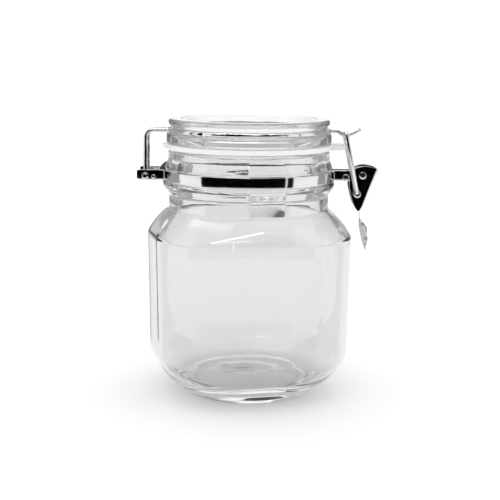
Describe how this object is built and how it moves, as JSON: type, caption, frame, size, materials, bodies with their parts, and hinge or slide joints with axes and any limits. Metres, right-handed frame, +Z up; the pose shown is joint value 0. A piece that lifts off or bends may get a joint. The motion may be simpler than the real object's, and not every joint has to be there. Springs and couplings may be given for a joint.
{
  "type": "bail clamp jar",
  "caption": "Squared glass storage jar with a hinged glass lid, a sealing ring, a wire bail and an over-centre clamp lever.",
  "frame": {"origin": "the jar's axis at the surface that it stands on, under the centre of the base panel", "axes": "+Z up along the jar's axis, +X towards the clamp lever, -X towards the lid's hinge"},
  "size_m": [0.1279, 0.1096, 0.1474],
  "materials": {
    "clear_glass": "clear polished",
    "silicone": "translucent satin",
    "wire_steel": "bright drawn wire",
    "band_steel": "bright rolled strip",
    "rivet_steel": "bright"
  },
  "bodies": {
    "jar": {"jar_glass": "clear_glass", "band_front": "band_steel", "band_rear": "band_steel", "hinge_tie_rivet": "rivet_steel", "lever_tie_rivet": "rivet_steel", "lever_pivot_rivet": "rivet_steel"},
    "lid": {"lid_glass": "clear_glass", "gasket": "silicone", "lid_bail": "wire_steel"},
    "clamp_lever": {"lever": "band_steel"},
    "clamp_loop": {"pull_loop": "wire_steel"}
  },
  "joints": [
    {"name": "lid_hinge", "type": "hinge", "parent": "jar", "child": "lid", "pos_m": [-0.0547, 0, 0.1172], "axis": [0, -1, 0], "range_deg": [0, 180]},
    {"name": "lever_pivot", "type": "hinge", "parent": "jar", "child": "clamp_lever", "pos_m": [0.06045, 0, 0.1181], "axis": [0, -1, 0], "range_deg": [0, 130]},
    {"name": "loop_swing", "type": "hinge", "parent": "clamp_lever", "child": "clamp_loop", "pos_m": [0.0575, 0, 0.1085], "axis": [0, -1, 0], "range_deg": [-156, 0], "deforming": ["pull_loop"]}
  ],
  "couplings": [
    {"joint": "loop_swing", "follows": "lever_pivot", "ratio": -1.2}
  ]
}
